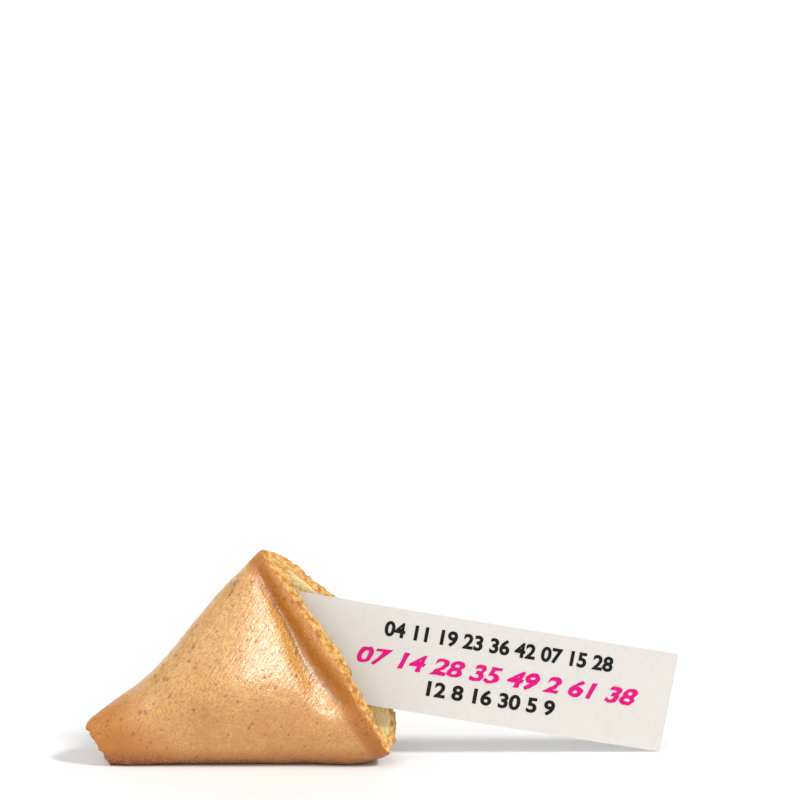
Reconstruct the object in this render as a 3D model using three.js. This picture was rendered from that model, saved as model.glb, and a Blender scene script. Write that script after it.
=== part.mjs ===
// Half of a broken fortune cookie with its paper slip, in millimetres, +Z up, standing on z = 0.
//
// The cookie was baked as a flat round wafer, folded in two over one diameter while hot and bent
// across the middle of the fold. It is snapped there, so this half is a hollow horn. Its fold runs
// from the apex down to the nipped tip, its two layers belly out under the fold and meet rim to rim
// on the underside, and the broken mouth opens to +X. The slip stands on edge in the mouth.
//
// The horn is a stack of sections along the fold, from 0 at the break to the tip. Each section
// leans like the break does, and is drawn as two sides from the fold round to the seam.
import * as THREE from "three";
import { ImprovedNoise } from "three/addons/math/ImprovedNoise.js";

// Fold
const APEX_HEIGHT = 31.8;
const HORN_LENGTH = 36; // along the fold, from the apex to the tip
const FOLD_SLOPE = 45; // degrees below the horizontal
const FOLD_SAG = 2.2; // the fold hangs this far below a straight line
const SAG_PLACE = 23; // where it hangs lowest
const SAG_SPREAD = 7.5;
const BREAK_LEAN = 33; // degrees from upright, for the break and every section

// Wafer
const WAFER = 2.2; // thickness
const FOLD_DEPTH = 3.2; // from the outside of the fold down to the hollow
const OUTER_NOSE = 2.3; // radius across the fold, outside
const INNER_NOSE = 0.6; // radius across the fold, in the hollow
const FLOOR_THICKNESS = 2.4;
const INNER_CURL_SHARE = 0.75; // the hollow's curl under the belly, as a share of the outer one
const HOLLOW_LENGTH = 33; // from here to the tip the layers are pressed together
const HOLLOW_BLUNTNESS = 5; // higher keeps the hollow wide for longer before it closes

// Belly, at stations along the fold
const STATIONS = [0, 10, 20, 30, HORN_LENGTH];
const FRONT_REACH = [6.6, 6.2, 6.2, 5.4, 2.2]; // from the fold out to the front belly
const BACK_REACH = [6.8, 9.4, 10.6, 8.0, 2.2]; // from the fold out to the back belly
const BELLY_HEIGHT = [8.6, 9.2, 8.4, 5.6, 2.4];
const CURL_DEPTH = [3.4, 4.0, 4.2, 3.4, 1.2]; // how far a layer turns in under its belly
const FOLD_PLACE = [0, 0.6, 0.6, 0.2, -1.4]; // depth of the fold itself

// Seam, where the two rims meet
const SEAM_PLACE = [1.2, 1.9, 2.2, 1.4, -1.2]; // its depth, at the stations
const SEAM_DEPTH = 1.2;
const LIP_SHARE = 0.55; // share of the flat underside before the rims turn up into the seam
const LIP_ROUNDNESS = 1.5;

// Broken mouth, at shares of the height down from the apex; a minus stands out past the break
const EDGE_SHARES = [0, 0.06, 0.16, 0.28, 0.45, 0.62, 0.79, 0.9, 1];
const FRONT_SKIN_EDGE = [-0.3, -0.3, -0.5, -0.6, -0.7, -0.5, 0.0, 0.4, 1.2];
const FRONT_INNER_EDGE = [-0.5, -1.4, -1.8, -1.8, -2.2, -1.6, -1.1, -0.8, 0.9];
const BACK_SKIN_EDGE = [-0.3, -2.5, -3.5, -5.7, -6.0, -4.6, -2.9, -1.3, 1.2];
const BACK_INNER_EDGE = [-0.5, -1.9, -2.8, -4.8, -5.0, -3.7, -2.2, -0.8, 0.9];
const CHIP = 0.45; // unevenness of the broken edges
const CHIP_SIZE = 1.7;
const CRUMB = 0.5; // unevenness of the crumb between skin and hollow
const CRUMB_SIZE = 0.8;
const TIP_CHIP = 0.8;
const FOOT_LIFT = 1.6; // the underside rises towards the mouth
const FOOT_LIFT_LENGTH = 7;

// Crease that the bend left beside the break, in both layers, at shares of the height down from the
// apex. It is a trough that widens downwards and ends short of the belly.
const FRONT_CREASE_DEPTH = 2.0;
const BACK_CREASE_DEPTH = 1.1;
const CREASE_SHARES = [0, 0.12, 0.24, 0.35, 0.47, 0.58, 0.66, 0.73, 1];
const CREASE_PLACE = [1.6, 1.8, 2.1, 2.3, 2.8, 2.7, 2.5, 2.5, 2.5]; // its middle, along the fold
const CREASE_REACH = [0.7, 0.8, 0.9, 1.1, 1.5, 2.1, 2.1, 1.6, 1.4]; // from its middle to its sides
const CREASE_STRENGTH = [0, 0.35, 0.65, 0.9, 1.0, 1.0, 0.85, 0.15, 0];
const CREASE_SQUARENESS = 3.5; // above 2 the trough has a flatter floor and steeper sides

// Swelling of both layers past the crease. It fans out from the apex.
const SWELLING_HEIGHT = [0, 0.5, 1.2, 1.9, 2.5, 2.7, 2.3, 1.5, 0]; // at the crease's shares
const SWELLING_PLACE = [2, 4, 6.5, 9, 11.5, 13, 14, 14.5, 15]; // its top, along the fold
const SWELLING_SPREAD = 0.38; // as a share of that place
const BACK_SWELLING = 0.3; // the back layer's, as a share of the front's

// Mesh: points on one side of a section, and sections along each surface
const WALL_STEPS = 18;
const CURL_STEPS = 6;
const FLAT_STEPS = 4;
const OUTER_SECTIONS = 48;
const INNER_SECTIONS = 24;
const MOUTH_CROWDING = 1.5; // above 1 the sections crowd towards the mouth
const FOLD_CROWDING = 1.45; // above 1 the points of a section crowd towards the fold

// Slip
const SLIP_LENGTH = 60;
const SLIP_WIDTH = 15;
const SLIP_THICKNESS = 0.2;
const SLIP_TILT = 10.5; // degrees, down towards its free end
const SLIP_TURN = 5.2; // degrees, the free end further back
const SLIP_BOW = 0.7; // bow of the paper, towards the front
const SLIP_STEPS = 40; // along the slip
const SLIP_ROWS = 6; // across it
const SLIP_CORNER = new THREE.Vector3(59.2, 5.6, 0.08); // lower corner of the free end

const { clamp, degToRad, lerp } = THREE.MathUtils;
const noise = new ImprovedNoise();
const down = Math.sin(degToRad(FOLD_SLOPE));
const along = Math.cos(degToRad(FOLD_SLOPE));
const lean = Math.tan(degToRad(BREAK_LEAN));
const stepOut = along + down * lean; // how far a section moves in X for each unit along the fold

function table(places, values) {
  const spline = new THREE.CubicInterpolant(places, values, 1, new Float32Array(1));
  return (place) => spline.evaluate(clamp(place, places[0], places.at(-1)))[0];
}

const foldPlace = table(STATIONS, FOLD_PLACE);
const frontReach = table(STATIONS, FRONT_REACH);
const backReach = table(STATIONS, BACK_REACH);
const bellyHeight = table(STATIONS, BELLY_HEIGHT);
const curlDepth = table(STATIONS, CURL_DEPTH);
const seamPlace = table(STATIONS, SEAM_PLACE);
const creasePlace = table(CREASE_SHARES, CREASE_PLACE);
const creaseReach = table(CREASE_SHARES, CREASE_REACH);
const creaseStrength = table(CREASE_SHARES, CREASE_STRENGTH);
const swellingHeight = table(CREASE_SHARES, SWELLING_HEIGHT);
const swellingPlace = table(CREASE_SHARES, SWELLING_PLACE);
const edges = {
  front: { skin: table(EDGE_SHARES, FRONT_SKIN_EDGE), inner: table(EDGE_SHARES, FRONT_INNER_EDGE) },
  back: { skin: table(EDGE_SHARES, BACK_SKIN_EDGE), inner: table(EDGE_SHARES, BACK_INNER_EDGE) },
};

function bell(distance, spread) {
  return Math.exp(-0.5 * (distance / spread) ** 2);
}

function foldHeight(place) {
  const sag = FOLD_SAG * (bell(place - SAG_PLACE, SAG_SPREAD) - bell(SAG_PLACE, SAG_SPREAD));
  return APEX_HEIGHT - down * place - sag;
}

function footHeight(place) {
  return FOOT_LIFT * clamp(1 - place / FOOT_LIFT_LENGTH, 0, 1) ** 2;
}

// How far a layer is pressed in by the crease beside the break
function creaseDepth(place, share, side) {
  const aside = Math.abs(place - creasePlace(share)) / creaseReach(share);
  const depth = side === "front" ? FRONT_CREASE_DEPTH : BACK_CREASE_DEPTH;
  return depth * Math.max(creaseStrength(share), 0) * Math.exp(-(aside ** CREASE_SQUARENESS));
}

// How far it swells out next to that
function swelling(place, share, side) {
  const top = swellingPlace(share);
  const height = Math.max(swellingHeight(share), 0) * bell(place - top, SWELLING_SPREAD * top);
  return side === "front" ? height : BACK_SWELLING * height;
}

// How much of the hollow's full section is left at a place, down to nothing at its round end
function hollowShare(place) {
  return Math.sqrt(Math.max(0, 1 - (Math.max(place, 0) / HOLLOW_LENGTH) ** HOLLOW_BLUNTNESS));
}

// One surface's sizes at a place along the fold: the outside, or the hollow inside it
function sectionSizes(place, side, surface) {
  const fold = foldHeight(place);
  const foot = footHeight(place);
  const reach = side === "front" ? frontReach(place) : backReach(place);
  const belly = bellyHeight(place);
  const toSeam = seamPlace(place) - foldPlace(place);
  const seam = side === "front" ? -toSeam : toSeam;
  const curl = curlDepth(place);
  if (surface === "skin") {
    return { top: fold, foot, belly, nose: OUTER_NOSE, reach, curl, seam, seamDepth: SEAM_DEPTH };
  }
  const share = hollowShare(place);
  const top = fold - FOLD_DEPTH;
  const low = foot + FLOOR_THICKNESS;
  const middle = (top + low) / 2;
  return {
    top: lerp(middle, top, share),
    foot: lerp(middle, low, share),
    belly: lerp(middle, clamp(belly, low, top), share),
    nose: INNER_NOSE * share,
    reach: (reach - WAFER) * share,
    curl: curl * INNER_CURL_SHARE * share,
    seam: seam * share,
    seamDepth: 0,
  };
}

// A point of one side of a section: how far out from the fold, and how high
function sectionPoint(sizes, step) {
  const { top, foot, belly, nose, reach, curl, seam, seamDepth } = sizes;
  if (step <= WALL_STEPS) {
    const share = (step / WALL_STEPS) ** FOLD_CROWDING;
    const drop = share * (top - belly);
    const round = nose * Math.sqrt(1 - (1 - Math.min(drop / nose, 1)) ** 2);
    return { out: round + (reach - nose) * Math.sin((share * Math.PI) / 2), height: top - drop };
  }
  if (step <= WALL_STEPS + CURL_STEPS) {
    const turn = (((step - WALL_STEPS) / CURL_STEPS) * Math.PI) / 2;
    return { out: reach - curl * (1 - Math.cos(turn)), height: belly - (belly - foot) * Math.sin(turn) };
  }
  const share = (step - WALL_STEPS - CURL_STEPS) / FLAT_STEPS;
  const rise = seamDepth * clamp((share - LIP_SHARE) / (1 - LIP_SHARE), 0, 1) ** LIP_ROUNDNESS;
  return { out: lerp(reach - curl, seam, share), height: foot + rise };
}

function surfacePoint(place, side, surface, step) {
  const onHorn = Math.max(place, 0);
  const { out, height } = sectionPoint(sectionSizes(onHorn, side, surface), step);
  const share = 1 - height / APEX_HEIGHT;
  const relief = swelling(place, share, side) - creaseDepth(place, share, side);
  const pressed = Math.max(out + relief, Math.min(out, 0));
  const depth = foldPlace(onHorn) + (side === "front" ? -pressed : pressed);
  const x = -along * onHorn + (foldHeight(onHorn) - height) * lean + stepOut * (onHorn - place);
  return new THREE.Vector3(x, depth, height);
}

// The steps round a whole section: down the front from the fold to the seam, and up the back
const SIDE_STEPS = WALL_STEPS + CURL_STEPS + FLAT_STEPS;
const round = [];
for (let step = 0; step < SIDE_STEPS; step++) {
  round.push({ side: "front", step });
}
for (let step = SIDE_STEPS; step > 0; step--) {
  round.push({ side: "back", step });
}

function edgePlace({ side, step }, surface) {
  const point = surfacePoint(0, side, surface, step);
  const grain = noise.noise(point.x / CHIP_SIZE, point.y / CHIP_SIZE, point.z / CHIP_SIZE);
  return edges[side][surface](1 - point.z / APEX_HEIGHT) + CHIP * grain;
}

function tipPlace({ side, step }) {
  const point = surfacePoint(HORN_LENGTH, side, "skin", step);
  return HORN_LENGTH + TIP_CHIP * noise.noise(point.x, point.y, point.z);
}

function outerSection(index) {
  const share = (index / OUTER_SECTIONS) ** MOUTH_CROWDING;
  return round.map((spot) => {
    const place = lerp(edgePlace(spot, "skin"), tipPlace(spot), share);
    return surfacePoint(place, spot.side, "skin", spot.step);
  });
}

function innerSection(index) {
  const share = Math.sin(((index / INNER_SECTIONS) * Math.PI) / 2);
  return round.map((spot) => {
    const place = lerp(edgePlace(spot, "inner"), HOLLOW_LENGTH, share);
    return surfacePoint(place, spot.side, "inner", spot.step);
  });
}

// A ring of the broken crumb, between the skin's edge and the hollow's
function crumbSection(share) {
  const skin = outerSection(0);
  const inner = innerSection(0);
  return skin.map((point, index) => {
    const middle = point.clone().lerp(inner[index], share);
    const grain = noise.noise(middle.x / CRUMB_SIZE, middle.y / CRUMB_SIZE, middle.z / CRUMB_SIZE);
    return middle.add(new THREE.Vector3(CRUMB * grain, 0, 0));
  });
}

// A closed body from rings with like numbers of points, each end closed by a fan
function skinOver(rings) {
  const count = rings[0].length;
  const points = rings.flat();
  const faces = [];
  for (let ring = 0; ring + 1 < rings.length; ring++) {
    for (let index = 0; index < count; index++) {
      const next = (index + 1) % count;
      const a = ring * count + index;
      const b = ring * count + next;
      faces.push(a, b, a + count, b, b + count, a + count);
    }
  }
  const closeEnd = (first, turned) => {
    const centre = new THREE.Vector3();
    for (let index = 0; index < count; index++) {
      centre.addScaledVector(points[first + index], 1 / count);
    }
    const pole = points.push(centre) - 1;
    for (let index = 0; index < count; index++) {
      const next = first + ((index + 1) % count);
      faces.push(...(turned ? [pole, first + index, next] : [pole, next, first + index]));
    }
  };
  closeEnd(0, false);
  closeEnd((rings.length - 1) * count, true);
  const geometry = new THREE.BufferGeometry().setFromPoints(points);
  geometry.setIndex(faces);
  geometry.computeVertexNormals();
  return geometry;
}

function makeCookie() {
  const rings = [];
  for (let index = OUTER_SECTIONS; index >= 0; index--) {
    rings.push(outerSection(index));
  }
  rings.push(crumbSection(1 / 3), crumbSection(2 / 3));
  for (let index = 0; index < INNER_SECTIONS; index++) {
    rings.push(innerSection(index));
  }
  const baked = new THREE.MeshStandardMaterial({ color: 0xe3b06f, roughness: 0.5, metalness: 0 });
  const cookie = new THREE.Mesh(skinOver(rings), baked);
  cookie.name = "cookie_half";
  return cookie;
}

// The slip is drawn with its free lower corner at the origin, then tilted, turned and set down
function makeSlip() {
  const sheet = new THREE.BoxGeometry(SLIP_LENGTH, SLIP_THICKNESS, SLIP_WIDTH, SLIP_STEPS, 1, SLIP_ROWS);
  sheet.translate(-SLIP_LENGTH / 2, 0, SLIP_WIDTH / 2);
  const spots = sheet.attributes.position;
  for (let index = 0; index < spots.count; index++) {
    const share = -spots.getX(index) / SLIP_LENGTH;
    spots.setY(index, spots.getY(index) - SLIP_BOW * Math.sin(share * Math.PI));
  }
  sheet.computeVertexNormals();
  const paper = new THREE.MeshStandardMaterial({ color: 0xebe4dc, roughness: 0.85, metalness: 0 });
  const slip = new THREE.Mesh(sheet, paper);
  slip.name = "paper_slip";
  slip.rotation.set(0, degToRad(SLIP_TILT), degToRad(SLIP_TURN), "ZYX");
  slip.position.copy(SLIP_CORNER);
  return slip;
}

// The origin is the middle of the whole part's underside
const brokenCookie = new THREE.Group();
brokenCookie.add(makeCookie(), makeSlip());
const box = new THREE.Box3().setFromObject(brokenCookie, true);
const middle = box.getCenter(new THREE.Vector3());
brokenCookie.position.set(-middle.x, -middle.y, -box.min.z);

export default brokenCookie;
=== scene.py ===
import math
import random

import bpy
import numpy as np
from mathutils import Matrix, Vector, noise
from mathutils.kdtree import KDTree


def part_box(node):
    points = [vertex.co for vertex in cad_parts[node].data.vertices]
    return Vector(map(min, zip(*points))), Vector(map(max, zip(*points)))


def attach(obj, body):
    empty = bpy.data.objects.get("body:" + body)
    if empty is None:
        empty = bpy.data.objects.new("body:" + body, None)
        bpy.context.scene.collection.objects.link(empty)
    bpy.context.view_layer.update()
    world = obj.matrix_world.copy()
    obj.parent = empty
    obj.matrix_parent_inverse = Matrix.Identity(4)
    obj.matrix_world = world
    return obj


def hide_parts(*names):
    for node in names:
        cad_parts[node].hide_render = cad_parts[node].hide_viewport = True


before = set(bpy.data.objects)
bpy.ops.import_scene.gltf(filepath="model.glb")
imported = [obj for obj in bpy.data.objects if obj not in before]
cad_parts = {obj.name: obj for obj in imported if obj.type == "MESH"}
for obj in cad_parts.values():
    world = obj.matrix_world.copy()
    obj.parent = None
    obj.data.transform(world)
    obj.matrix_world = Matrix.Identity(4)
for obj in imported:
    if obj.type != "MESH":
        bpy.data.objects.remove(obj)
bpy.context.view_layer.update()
scene = bpy.context.scene

# The camera stands a little above the table, a long lens's reach away, and looks a little down. The
# part sits low in the picture, as in the photograph, so the camera aims above it.
CAMERA_DISTANCE = 0.450
CAMERA_ELEVATION = math.radians(12.0)
CAMERA_DROP = math.radians(4.8)  # how far below the lens axis the part lies
CAMERA_SIDE = 0.0023  # what it looks at, to the right of the part's middle
CAMERA_FORWARD = -0.0009
CAMERA_HEIGHT = 0.01565
PICTURE_WIDTH = 0.1178  # width of the picture at the part
SENSOR_WIDTH = 36.0

middle = Vector((CAMERA_SIDE, CAMERA_FORWARD, CAMERA_HEIGHT))
toward_camera = Vector((0.0, -math.cos(CAMERA_ELEVATION), math.sin(CAMERA_ELEVATION)))
lens = SENSOR_WIDTH * CAMERA_DISTANCE * math.cos(CAMERA_DROP) / PICTURE_WIDTH
bpy.ops.object.camera_add(location=middle + toward_camera * CAMERA_DISTANCE)
camera = bpy.context.object
camera.rotation_euler = (math.pi / 2 - CAMERA_ELEVATION + CAMERA_DROP, 0.0, 0.0)
camera.data.lens = lens
camera.data.sensor_width = SENSOR_WIDTH
camera.data.clip_start = 0.01
scene.camera = camera

# The cookie half: a round wafer of sweet batter, baked, folded while hot and snapped when cold. It
# starts as a copy of the solid, is rounded, and is remeshed fine enough for its pores and crumb.
APEX_HEIGHT = 0.0318
BREAK_ANGLE = math.radians(33)  # how far the break leans from upright
BREAK_LEAN = math.tan(BREAK_ANGLE)
FOLD_SLOPE = 0.7071  # cosine of the fold's 45 degrees
STEP_OUT = FOLD_SLOPE * (1 + BREAK_LEAN)  # sideways move of a section for each unit along the fold
VOXEL = 0.00026

wafer_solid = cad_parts["cookie_half"]
bpy.ops.object.select_all(action="DESELECT")
wafer = bpy.data.objects.new("baked_wafer_half", wafer_solid.data.copy())
scene.collection.objects.link(wafer)
wafer.select_set(True)
bpy.context.view_layer.objects.active = wafer
bpy.ops.object.mode_set(mode="EDIT")
bpy.ops.mesh.select_all(action="SELECT")
bpy.ops.mesh.remove_doubles(threshold=1e-6)
bpy.ops.mesh.tris_convert_to_quads(face_threshold=1.0, shape_threshold=1.2)
bpy.ops.object.mode_set(mode="OBJECT")
rounding = wafer.modifiers.new("rounding", "SUBSURF")
rounding.levels = 2
rounding.render_levels = 2
bpy.ops.object.modifier_apply(modifier="rounding")
remesh = wafer.modifiers.new("remesh", "REMESH")
remesh.mode = "VOXEL"
remesh.voxel_size = VOXEL
bpy.ops.object.modifier_apply(modifier="remesh")


def points_and_normals(piece):
    count = len(piece.data.vertices)
    points = np.empty(count * 3)
    normals = np.empty(count * 3)
    piece.data.vertices.foreach_get("co", points)
    piece.data.vertices.foreach_get("normal", normals)
    return points.reshape(-1, 3), normals.reshape(-1, 3)


def ramp(values, low, high):
    share = np.clip((values - low) / (high - low), 0, 1)
    return share * share * (3 - 2 * share)


spots, facing = points_and_normals(wafer)
apex = spots[spots[:, 2].argmax()]
drop = APEX_HEIGHT - spots[:, 2]
along_fold = (drop * BREAK_LEAN - (spots[:, 0] - apex[0])) / STEP_OUT
break_normal = np.array([math.cos(BREAK_ANGLE), 0, math.sin(BREAK_ANGLE)])
toward_break = facing @ break_normal

# The underside rounds up a little more at the mouth, under the lower end of the break
FOOT_ROUNDING = 0.0009
FOOT_ROUNDING_LENGTH = 0.008
FOOT_HEIGHT = 0.004
near_mouth = np.clip(1 - along_fold / FOOT_ROUNDING_LENGTH, 0, 1) ** 2
spots[:, 2] += FOOT_ROUNDING * near_mouth * np.clip(1 - spots[:, 2] / FOOT_HEIGHT, 0, 1)

# The upper corner of the tip reaches out again by what the rounding took off it
TIP_START = 0.025
TIP_END = 0.034
TIP_REACH = 0.0006
TIP_HEIGHT = 0.006
near_tip = ramp(along_fold, TIP_START, TIP_END)
spots[:, 0] -= TIP_REACH * near_tip * np.clip(spots[:, 2] / TIP_HEIGHT, 0, 1)
wafer.data.vertices.foreach_set("co", spots.ravel())

# The hollow's middle line runs from the mouth down to its closed end at the tip. What faces that
# line is inner surface. The starts are from the apex and the floor, the rest is how far it moves.
HOLLOW_LENGTH = 0.033
HOLLOW_RIGHT, HOLLOW_LEFTWARD = 0.0095, 0.0285
HOLLOW_BEHIND, HOLLOW_BACKWARD = 0.0008, 0.0005
HOLLOW_HEIGHT, HOLLOW_DOWNWARD = 0.0145, 0.0105
share_in = np.clip(along_fold / HOLLOW_LENGTH, 0, 1)
hollow_middle = np.stack(
    [
        apex[0] + HOLLOW_RIGHT - share_in * HOLLOW_LEFTWARD,
        apex[1] + HOLLOW_BEHIND + HOLLOW_BACKWARD * share_in,
        HOLLOW_HEIGHT - HOLLOW_DOWNWARD * share_in,
    ],
    axis=1,
)
outward = ((spots - hollow_middle) * facing).sum(axis=1)

# Where the crumb of the break, the hollow, the skin and the chipped end of the tip begin and end
BREAK_FACING = (0.50, 0.70)
BREAK_DEPTH = (0.0009, 0.0018)
HOLLOW_SIDE = (-0.0012, 0.0004)
TIP_FACING = (0.35, 0.65)
TIP_CHIPS = (0.0325, 0.0340)
broken = ramp(toward_break, *BREAK_FACING) * (1 - ramp(along_fold, *BREAK_DEPTH))
inside = (1 - ramp(outward, *HOLLOW_SIDE)) * (1 - broken)
outer = (1 - inside) * (1 - broken)
tip = ramp(-toward_break, *TIP_FACING) * ramp(along_fold, *TIP_CHIPS) * outer
masks = {"broken": broken, "inside": inside, "outer": outer, "tip": tip}


def keep_mask(name, values):
    attribute = wafer.data.attributes.new("is_" + name, "FLOAT", "POINT")
    attribute.data.foreach_set("value", values.astype(np.float32))


MASK_LEVELS = 16
for name, values in masks.items():
    group = wafer.vertex_groups.new(name=name)
    for level in range(1, MASK_LEVELS + 1):
        chosen = np.flatnonzero(np.round(values * MASK_LEVELS) == level)
        group.add(chosen.tolist(), level / MASK_LEVELS, "REPLACE")
    keep_mask(name, values)

# How far each point is from the rim below, the break and the tip, for baked colours and painted shade
RIM_REACH = 0.012
LIP_REACH = 0.0045
BEHIND_REACH = 0.004  # the longer back layer ends further out, so the lip fades out behind the apex
keep_mask("above_rim", np.clip(spots[:, 2] / RIM_REACH, 0, 1))
# Distance from the break, for the painted shade in the groove beside it and the duller glaze there
behind = ramp(spots[:, 1] - apex[1], 0.0, BEHIND_REACH)
keep_mask("from_break", np.clip((apex - spots) @ break_normal / LIP_REACH + behind, 0, 1))
keep_mask("near_tip", near_tip)

# The relief of the surface: name, size of its bumps, height from hollow to bump, and where it lies
RELIEF = [
    ("lumps", 0.0060, 0.00032, "outer"),
    ("dimpled_skin", 0.0010, 0.00014, "outer"),
    ("bubbled_hollow", 0.0016, 0.00030, "inside"),
    ("torn_crumb", 0.0026, 0.00110, "broken"),
    ("crumb_bubbles", 0.0012, 0.00085, "broken"),
    ("fine_crumb", 0.00055, 0.00055, "broken"),
    ("torn_tip", 0.0022, 0.00170, "tip"),
    ("chipped_tip", 0.0009, 0.00140, "tip"),
]
bpy.ops.object.select_all(action="DESELECT")
wafer.select_set(True)
bpy.context.view_layer.objects.active = wafer
for name, size, height, mask in RELIEF:
    texture = bpy.data.textures.new(name, "CLOUDS")
    texture.noise_scale = size
    texture.noise_depth = 3
    texture.noise_basis = "IMPROVED_PERLIN"
    displace = wafer.modifiers.new(name, "DISPLACE")
    displace.texture = texture
    displace.texture_coords = "LOCAL"
    displace.strength = height
    displace.mid_level = 0.5
    displace.vertex_group = mask
    bpy.ops.object.modifier_apply(modifier=name)

# Pores where steam left the batter: small pits, each darkened in colour with painted shade
PORE_SEED = 11
PORE_COUNT = 420
SMALL_PORE = 0.00015
LARGE_PORE = 0.00036
FEW_LARGE = 3  # higher makes the large ones rarer
PORE_DEPTH_SHARE = 0.6
PORE_SKIN_SHARE = 0.95  # pores keep to what is almost all skin
rng = random.Random(PORE_SEED)
spots, facing = points_and_normals(wafer)
tree = KDTree(len(spots))
for index, spot in enumerate(spots):
    tree.insert(spot, index)
tree.balance()
skin_spots = np.flatnonzero(outer > PORE_SKIN_SHARE)
pore = np.zeros(len(spots))
for centre in rng.sample(skin_spots.tolist(), PORE_COUNT):
    radius = SMALL_PORE + (LARGE_PORE - SMALL_PORE) * rng.random() ** FEW_LARGE
    for _, index, distance in tree.find_range(spots[centre], radius):
        share = 1 - (distance / radius) ** 2
        pore[index] = max(pore[index], share)
        spots[index] -= facing[index] * PORE_DEPTH_SHARE * radius * share * share
spots[:, 2] = np.maximum(spots[:, 2], 0.0)
wafer.data.vertices.foreach_set("co", spots.ravel())
wafer.data.update()
keep_mask("pore", pore)
bpy.ops.object.shade_smooth()


def new_material(name):
    material = bpy.data.materials.new(name)
    material.use_nodes = True
    nodes = material.node_tree.nodes
    return material, nodes, material.node_tree.links, nodes["Principled BSDF"]


def noise_node(nodes, links, coordinates, scale, detail, roughness):
    node = nodes.new("ShaderNodeTexNoise")
    node.inputs["Scale"].default_value = scale
    node.inputs["Detail"].default_value = detail
    node.inputs["Roughness"].default_value = roughness
    links.new(coordinates, node.inputs["Vector"])
    return node.outputs["Fac"]


def ramp_node(nodes, links, value, stops):
    node = nodes.new("ShaderNodeValToRGB")
    elements = node.color_ramp.elements
    while len(elements) < len(stops):
        elements.new(0.5)
    for element, (position, color) in zip(elements, stops):
        element.position = position
        element.color = (*color, 1)
    links.new(value, node.inputs["Fac"])
    return node.outputs["Color"]


def mix_node(nodes, links, share, first, second, kind="MIX"):
    node = nodes.new("ShaderNodeMix")
    node.data_type = "RGBA"
    node.blend_type = kind
    for value, socket in ((share, node.inputs[0]), (first, node.inputs[6]), (second, node.inputs[7])):
        if isinstance(value, bpy.types.NodeSocket):
            links.new(value, socket)
        elif isinstance(value, tuple):
            socket.default_value = (*value, 1)
        else:
            socket.default_value = value
    return node.outputs[2]


def bump_node(nodes, links, height, strength, distance):
    node = nodes.new("ShaderNodeBump")
    node.inputs["Strength"].default_value = strength
    node.inputs["Distance"].default_value = distance
    links.new(height, node.inputs["Height"])
    return node.outputs["Normal"]


def mask_node(nodes, name):
    node = nodes.new("ShaderNodeAttribute")
    node.attribute_name = "is_" + name
    return node.outputs["Fac"]


def grey(level):
    return (level, level, level)


SKIN_GOLD = (0.79, 0.43, 0.098)
SKIN_AMBER = (0.70, 0.34, 0.060)
BAKED_TAN = (0.50, 0.195, 0.026)
PORE_PAINTED_SHADE = (0.32, 0.10, 0.012)
CRUMB_CREAM = (0.84, 0.54, 0.20)
CRUMB_GOLD = (0.68, 0.35, 0.080)
CRUMB_SHADE = (0.44, 0.17, 0.025)
HOLLOW_CREAM = (1.0, 0.77, 0.37)
# Skin tones: browning and painted shade toward the rim, painted shade by the break, browning at the
# tip
RIM_BAKE_AND_PAINTED_SHADE = [
    (0.0, (0.17, 0.09, 0.045)),
    (0.06, (0.27, 0.16, 0.08)),
    (0.14, (0.56, 0.42, 0.28)),
    (0.26, (0.83, 0.74, 0.58)),
    (0.70, (0.91, 0.84, 0.73)),
    (1.0, (1.0, 1.0, 1.0)),
]
# Painted shade beside the break: the lip and the groove next to it, where the lip's shadow falls
BREAK_SIDE_PAINTED_SHADE = [
    (0.0, (0.74, 0.45, 0.13)),
    (0.34, (0.66, 0.41, 0.15)),
    (0.54, (0.68, 0.44, 0.18)),
    (0.72, (1.0, 1.0, 1.0)),
]
TIP_TONES = [(0.0, (1.0, 1.0, 1.0)), (1.0, (0.84, 0.58, 0.10))]
# How many patches of each noise there are to a metre
CLOUDS_PER_METRE = 210
CRUMB_PER_METRE = 1100
GLOSS_PER_METRE = 700
# The brown mottle, coarse and fine: patches to a metre, detail, where it starts and is full, share
MOTTLES = [
    (1000, 3, 0.45, 0.75, 0.45),
    (3000, 2, 0.41, 0.66, 0.85),
]
PORE_TONES = [(0.0, grey(0.0)), (0.7, grey(0.85))]
GLOSS_RANGE = [(0.3, grey(0.30)), (0.7, grey(0.42))]
CRUMB_ROUGHNESS = 0.85

material, nodes, links, shader = new_material("baked_wafer")
place = nodes.new("ShaderNodeTexCoord").outputs["Object"]
clouds = noise_node(nodes, links, place, CLOUDS_PER_METRE, 3, 0.6)
skin = ramp_node(nodes, links, clouds, [(0.32, SKIN_AMBER), (0.56, SKIN_GOLD)])
# The skin is multiplied by these tones: browning, and painted shade toward the rim and beside the
# break
for name, tones in (("above_rim", RIM_BAKE_AND_PAINTED_SHADE), ("from_break", BREAK_SIDE_PAINTED_SHADE), ("near_tip", TIP_TONES)):
    tone = ramp_node(nodes, links, mask_node(nodes, name), tones)
    skin = mix_node(nodes, links, 1.0, skin, tone, "MULTIPLY")
for per_metre, detail, start, full, share in MOTTLES:
    mottle = noise_node(nodes, links, place, per_metre, detail, 0.6)
    mottle = ramp_node(nodes, links, mottle, [(start, grey(0.0)), (full, grey(share))])
    skin = mix_node(nodes, links, mottle, skin, BAKED_TAN)
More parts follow.
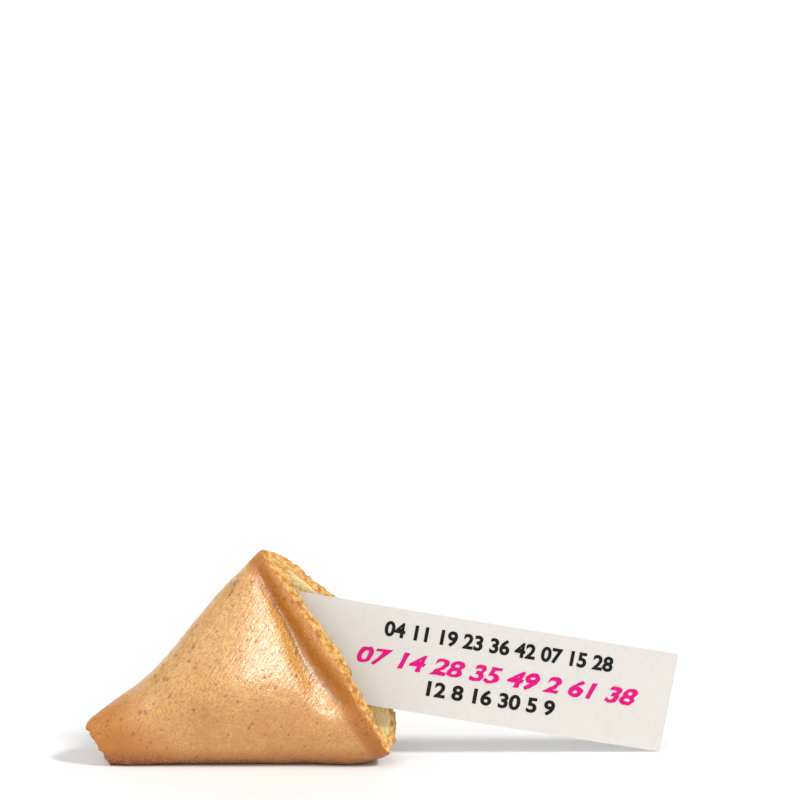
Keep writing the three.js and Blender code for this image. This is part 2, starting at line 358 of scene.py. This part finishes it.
# Painted shade in the pores: each pit is darkened toward a deep brown
pits = ramp_node(nodes, links, mask_node(nodes, "pore"), PORE_TONES)
skin = mix_node(nodes, links, pits, skin, PORE_PAINTED_SHADE)
crumb = noise_node(nodes, links, place, CRUMB_PER_METRE, 3, 0.6)
crumb = ramp_node(nodes, links, crumb, [(0.36, CRUMB_SHADE), (0.48, CRUMB_GOLD), (0.62, CRUMB_CREAM)])
skin = mix_node(nodes, links, mask_node(nodes, "inside"), skin, HOLLOW_CREAM)
skin = mix_node(nodes, links, mask_node(nodes, "broken"), skin, crumb)
links.new(skin, shader.inputs["Base Color"])
gloss = noise_node(nodes, links, place, GLOSS_PER_METRE, 2, 0.5)
gloss = ramp_node(nodes, links, gloss, GLOSS_RANGE)
gloss = mix_node(nodes, links, mask_node(nodes, "broken"), gloss, grey(CRUMB_ROUGHNESS))
links.new(gloss, shader.inputs["Roughness"])
shader.inputs["Specular IOR Level"].default_value = 0.4
shader.inputs["Subsurface Weight"].default_value = 0.14
shader.inputs["Subsurface Radius"].default_value = (1.0, 0.45, 0.18)
shader.inputs["Subsurface Scale"].default_value = 0.0016

# The glaze that sugar and butter leave on the skin, dull near the rim, the break and the tip
DULL_RIM = [(0.05, grey(0.1)), (0.30, grey(1.0))]
DULL_LIP = [(0.4, grey(0.15)), (0.8, grey(1.0))]
DULL_TIP = [(0.0, grey(1.0)), (1.0, grey(0.3))]
glaze = mix_node(nodes, links, mask_node(nodes, "outer"), grey(0.0), grey(1.0))
for name, shares in (("above_rim", DULL_RIM), ("from_break", DULL_LIP), ("near_tip", DULL_TIP)):
    kept = ramp_node(nodes, links, mask_node(nodes, name), shares)
    glaze = mix_node(nodes, links, 1.0, glaze, kept, "MULTIPLY")
links.new(glaze, shader.inputs["Coat Weight"])
shader.inputs["Coat Roughness"].default_value = 0.32
shader.inputs["Coat IOR"].default_value = 1.62

# Fine lines that the fold stretched into the skin, and the grain between them. The noise of the
# lines is turned with the fold and squeezed, so that its patches draw out into lines.
LINES_TURN = (0, -BREAK_ANGLE, 0)
LINES_SQUEEZE = (1.0, 0.5, 0.09)
LINES_PER_METRE = 3000
GRAIN_PER_METRE = 3400
GRAIN_SHARE = 0.42
SKIN_RELIEF = 0.00048
GLAZE_RELIEF = 0.00014  # the glaze fills the relief, so less of it shows in the highlight
turned = nodes.new("ShaderNodeMapping")
turned.inputs["Rotation"].default_value = LINES_TURN
links.new(place, turned.inputs["Vector"])
squeezed = nodes.new("ShaderNodeMapping")
squeezed.inputs["Scale"].default_value = LINES_SQUEEZE
links.new(turned.outputs["Vector"], squeezed.inputs["Vector"])
lines = noise_node(nodes, links, squeezed.outputs["Vector"], LINES_PER_METRE, 1, 0.5)
grain = noise_node(nodes, links, place, GRAIN_PER_METRE, 2, 0.6)
lines_and_grain = mix_node(nodes, links, GRAIN_SHARE, lines, grain)
links.new(bump_node(nodes, links, lines_and_grain, 1.0, SKIN_RELIEF), shader.inputs["Normal"])
links.new(bump_node(nodes, links, lines_and_grain, 1.0, GLAZE_RELIEF), shader.inputs["Coat Normal"])
wafer.data.materials.clear()
wafer.data.materials.append(material)
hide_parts("cookie_half")
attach(wafer, "root")

# The slip: a strip of thin uncoated paper, cut square, a little bowed and cockled. It is drawn
# flat with its free lower corner at the origin, bent, then tilted, turned and set down.
SLIP_LENGTH = 0.060
SLIP_WIDTH = 0.015
SLIP_THICKNESS = 0.00012
SLIP_CELLS_LONG = 120
SLIP_CELLS_WIDE = 30
SLIP_TILT = math.radians(10.5)
SLIP_TURN = math.radians(5.2)
SLIP_BOW = 0.0007
SLIP_COCKLE = 0.00008
COCKLES_ALONG = 90  # to a metre
COCKLES_UP = 60
COCKLE_SLICE = 0.3  # which slice of the noise the cockles follow
SLIP_LIFT = 0.00010
SOLID_SLIP_HALF = 0.0001  # half the thickness of the solid it replaces

slip_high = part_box("paper_slip")[1]
turn = Matrix.Rotation(SLIP_TURN, 4, "Z") @ Matrix.Rotation(SLIP_TILT, 4, "Y")
corner_reach = (turn @ Vector((0, 0, SLIP_WIDTH))).x
slip_corner = Vector((slip_high[0] - corner_reach, slip_high[1] - SOLID_SLIP_HALF, SLIP_LIFT))


def lay_on_slip(piece):
    for vertex in piece.data.vertices:
        x, y, z = vertex.co
        share = -x / SLIP_LENGTH
        bow = -SLIP_BOW * math.sin(share * math.pi)
        cockle = SLIP_COCKLE * noise.noise(Vector((x * COCKLES_ALONG, COCKLE_SLICE, z * COCKLES_UP)))
        vertex.co = (x, y + bow + cockle, z)
    piece.data.transform(Matrix.Translation(slip_corner) @ turn)


bpy.ops.object.select_all(action="DESELECT")
bpy.ops.mesh.primitive_grid_add(x_subdivisions=SLIP_CELLS_LONG, y_subdivisions=SLIP_CELLS_WIDE, size=1)
slip = bpy.context.object
slip.name = "slip_of_paper"
bpy.ops.object.mode_set(mode="EDIT")
bpy.ops.transform.resize(value=(SLIP_LENGTH, SLIP_WIDTH, 1))
bpy.ops.object.mode_set(mode="OBJECT")
slip.data.transform(Matrix.Rotation(math.pi / 2, 4, "X"))
slip.data.transform(Matrix.Translation((-SLIP_LENGTH / 2, 0, SLIP_WIDTH / 2)))
lay_on_slip(slip)
paper_thickness = slip.modifiers.new("thickness", "SOLIDIFY")
paper_thickness.thickness = SLIP_THICKNESS
paper_thickness.offset = 0
bpy.ops.object.modifier_apply(modifier="thickness")
bpy.ops.object.shade_smooth_by_angle(angle=math.radians(40))

PAPER_WHITE = (0.66, 0.63, 0.59)
PAPER_SHADE = (0.63, 0.595, 0.555)
FIBRES_PER_METRE = 1500
FIBRE_RELIEF = 0.00003

material, nodes, links, shader = new_material("slip_paper")
place = nodes.new("ShaderNodeTexCoord").outputs["Object"]
fibres = noise_node(nodes, links, place, FIBRES_PER_METRE, 5, 0.7)
tone = ramp_node(nodes, links, fibres, [(0.3, PAPER_SHADE), (0.55, PAPER_WHITE)])
links.new(tone, shader.inputs["Base Color"])
shader.inputs["Roughness"].default_value = 0.82
shader.inputs["Specular IOR Level"].default_value = 0.25
shader.inputs["Subsurface Weight"].default_value = 0.1
shader.inputs["Subsurface Radius"].default_value = (1.0, 0.9, 0.8)
shader.inputs["Subsurface Scale"].default_value = 0.0004
links.new(bump_node(nodes, links, fibres, 0.35, FIBRE_RELIEF), shader.inputs["Normal"])
slip.data.materials.append(material)
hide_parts("paper_slip")
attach(slip, "root")

# The print: rows of plain numbers in ink, a black row above and below a brushed magenta one. Each
# row is a thin layer laid on the front of the paper and bent with it.
INK_RISE = 0.00006
INK_BLACK = (0.004, 0.004, 0.004)
INK_MAGENTA = (0.60, 0.001, 0.165)
INK_SPECKLES_PER_METRE = 2500
STROKE_WIDENING = 0.035  # makes the strokes bolder, as a share of the letter size
BRUSH_SLANT = 0.25
BRUSH_WANDER = 0.00016
BRISTLE_COUNT = 1400  # how closely the brushed outline wanders, for each metre
SLICE_ACROSS, SLICE_UP = 0, 9  # the slices of noise that move the outline across and up
# Name, numbers, height, middle along the slip from its free end, middle up it, width, ink, brushed
PRINT_ROWS = [
    ("print_upper", "04 11 19 23 36 42 07 15 28", 0.0024, -0.0268, 0.0118, 0.0346, INK_BLACK, False),
    ("print_middle", "07 14 28 35 49 2 61 38", 0.0027, -0.0262, 0.0074, 0.0425, INK_MAGENTA, True),
    ("print_lower", "12 8 16 30 5 9", 0.0024, -0.0266, 0.0039, 0.0194, INK_BLACK, False),
]


def ink(name, color):
    material, nodes, links, shader = new_material(name)
    place = nodes.new("ShaderNodeTexCoord").outputs["Object"]
    speckle = noise_node(nodes, links, place, INK_SPECKLES_PER_METRE, 3, 0.6)
    light = tuple(min(1.0, part * 1.25 + 0.01) for part in color)
    tone = ramp_node(nodes, links, speckle, [(0.35, color), (0.75, light)])
    links.new(tone, shader.inputs["Base Color"])
    shader.inputs["Roughness"].default_value = 0.9
    shader.inputs["Specular IOR Level"].default_value = 0.15
    return material


for name, numbers, height, along, up, width, color, brushed in PRINT_ROWS:
    bpy.ops.object.select_all(action="DESELECT")
    bpy.ops.object.text_add()
    row = bpy.context.object
    row.name = name
    row.data.body = numbers
    row.data.align_x = "CENTER"
    row.data.align_y = "CENTER"
    row.data.size = 1.0
    row.data.resolution_u = 6
    row.data.offset = STROKE_WIDENING
    row.data.shear = BRUSH_SLANT if brushed else 0.0
    row.data.extrude = 0.01  # any thickness will do, because the row is scaled to its size below
    bpy.ops.object.convert(target="MESH")
    row = bpy.context.object
    spots = points_and_normals(row)[0]
    low, high = spots.min(axis=0), spots.max(axis=0)
    row.data.transform(Matrix.Translation(-Vector((low + high) / 2)))
    size = high - low
    row.data.transform(Matrix.Diagonal((width / size[0], height / size[1], INK_RISE / size[2], 1)))
    row.data.transform(Matrix.Rotation(math.pi / 2, 4, "X"))
    row.data.transform(Matrix.Translation((along, -SLIP_THICKNESS / 2, up)))
    bpy.ops.object.mode_set(mode="EDIT")
    bpy.ops.mesh.select_all(action="SELECT")
    bpy.ops.mesh.quads_convert_to_tris()
    bpy.ops.mesh.subdivide(number_cuts=1)
    bpy.ops.object.mode_set(mode="OBJECT")
    for vertex in row.data.vertices if brushed else []:
        x, y, z = vertex.co * BRISTLE_COUNT
        vertex.co.x += BRUSH_WANDER * noise.noise(Vector((x, SLICE_ACROSS, z)))
        vertex.co.z += BRUSH_WANDER * noise.noise(Vector((x, SLICE_UP, z)))
    lay_on_slip(row)
    row.data.materials.clear()
    row.data.materials.append(ink(name + "_ink", color))
    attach(row, "root")

# The stage: a pale floor that sweeps up behind, a key light from the upper right, wide soft fills
# from the front and the left, a low light that shows only as a sheen, and a pale surrounding.
FLOOR_WIDTH = 8.0
FLOOR_BACK = 1.4
FLOOR_TONE = (0.90, 0.90, 0.90, 1)
EDGE_MARGIN = 0.01
SWEEP_RADIUS = 1.0
SWEEP_STEPS = 45
WALL_HEIGHT = 2.5
bpy.ops.object.select_all(action="DESELECT")
bpy.ops.mesh.primitive_plane_add(size=FLOOR_WIDTH, location=(0, FLOOR_BACK - FLOOR_WIDTH / 2, 0))
floor = bpy.context.object
floor.name = "floor"
bpy.ops.object.transform_apply(location=True, rotation=False, scale=False)
bpy.ops.object.mode_set(mode="EDIT")
bpy.ops.mesh.select_mode(type="EDGE")
bpy.ops.mesh.select_all(action="DESELECT")
bpy.ops.object.mode_set(mode="OBJECT")
for edge in floor.data.edges:
    ends = [floor.data.vertices[end].co.y for end in edge.vertices]
    edge.select = min(ends) > FLOOR_BACK - EDGE_MARGIN
bpy.ops.object.mode_set(mode="EDIT")
for step in range(SWEEP_STEPS):
    here, there = (math.radians(90) * (step + part) / SWEEP_STEPS for part in (0, 1))
    rise = SWEEP_RADIUS * (math.cos(here) - math.cos(there))
    run = SWEEP_RADIUS * (math.sin(there) - math.sin(here))
    bpy.ops.mesh.extrude_edges_move(TRANSFORM_OT_translate={"value": (0, run, rise)})
bpy.ops.mesh.extrude_edges_move(TRANSFORM_OT_translate={"value": (0, 0, WALL_HEIGHT)})
bpy.ops.mesh.select_all(action="SELECT")
bpy.ops.mesh.normals_make_consistent(inside=False)
bpy.ops.object.mode_set(mode="OBJECT")
bpy.ops.object.shade_smooth()
material, nodes, links, shader = new_material("floor")
shader.inputs["Base Color"].default_value = FLOOR_TONE
shader.inputs["Roughness"].default_value = 0.8
floor.data.materials.append(material)


def soft_sun(name, to_right, above, width, strength):
    spin, lift = math.radians(to_right), math.radians(above)
    way = Vector((math.sin(spin) * math.cos(lift), -math.cos(spin) * math.cos(lift), math.sin(lift)))
    bpy.ops.object.light_add(type="SUN", location=middle + way)
    light = bpy.context.object
    light.name = name
    light.rotation_euler = way.to_track_quat("Z", "Y").to_euler()
    light.data.angle = math.radians(width)
    light.data.energy = strength
    return light


# Each light: degrees to the right of the front, degrees above the floor, width in degrees, strength
soft_sun("key", 58, 42, 12, 2.2)
soft_sun("front_fill", -12, 34, 50, 0.9)
soft_sun("left_fill", -70, 42, 50, 1.0)
sheen = soft_sun("sheen", 16, 20, 5, 2.7)
sheen.visible_diffuse = False

SURROUND_STRENGTH = 0.20
world = bpy.data.worlds.new("studio")
world.use_nodes = True
world.node_tree.nodes["Background"].inputs["Color"].default_value = (1, 1, 1, 1)
world.node_tree.nodes["Background"].inputs["Strength"].default_value = SURROUND_STRENGTH
scene.world = world
scene.view_settings.view_transform = "Standard"
